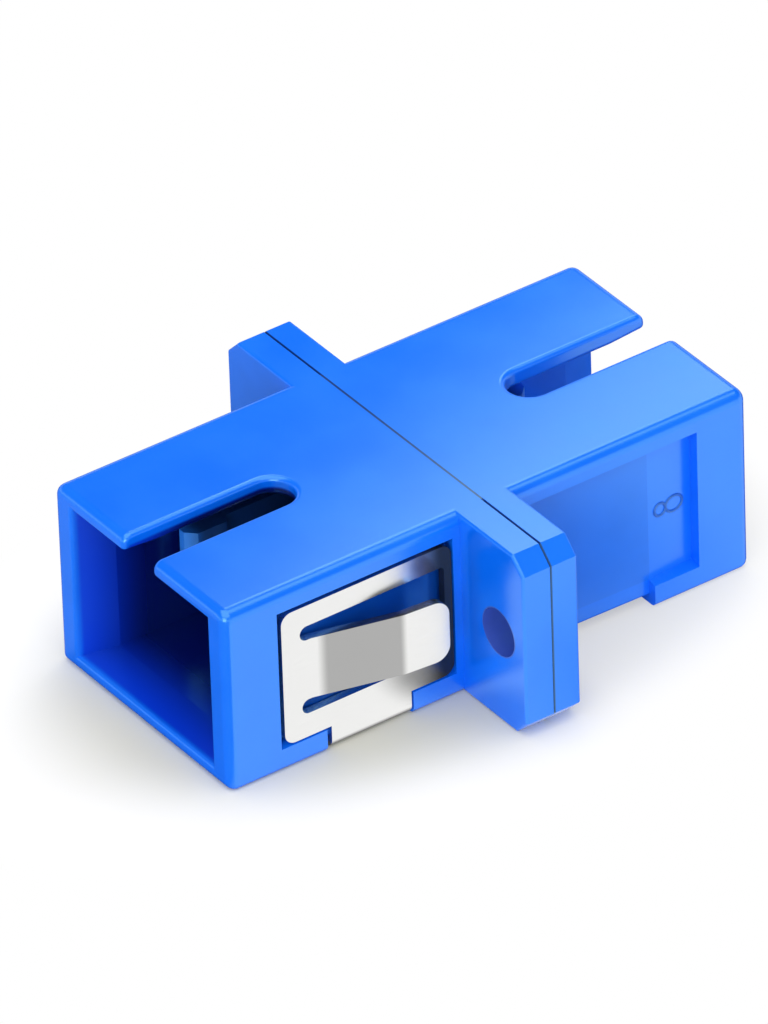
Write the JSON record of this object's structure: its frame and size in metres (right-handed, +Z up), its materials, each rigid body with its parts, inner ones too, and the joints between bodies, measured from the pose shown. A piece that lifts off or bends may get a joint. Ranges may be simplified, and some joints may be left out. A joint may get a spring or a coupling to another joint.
{
  "type": "sc fibre adapter",
  "caption": "Flanged straight-through adapter that joins two square push-pull fibre plugs end to end, with a spring clip for panel mounting.",
  "frame": {"origin": "on the bottom plane, under the joint of the two housing halves, midway between the ears", "axes": "+X along the optical axis from the front mouth, which has the clip, to the rear mouth; +Y across the ears; +Z up, towards the key slots"},
  "size_m": [0.0278, 0.022, 0.0093],
  "materials": {
    "housing_plastic": "smooth moulded plastic, soft satin gloss, bright blue",
    "latch_plastic": "moulded plastic, slightly duller blue",
    "sleeve_ceramic": "ground off-white ceramic",
    "clip_steel": "bright rolled spring steel"
  },
  "bodies": {
    "root": {"front_housing": "housing_plastic", "rear_housing": "housing_plastic", "front_inner_latch": "latch_plastic", "rear_inner_latch": "latch_plastic", "split_sleeve": "sleeve_ceramic", "panel_clip": "clip_steel"}
  },
  "joints": []
}
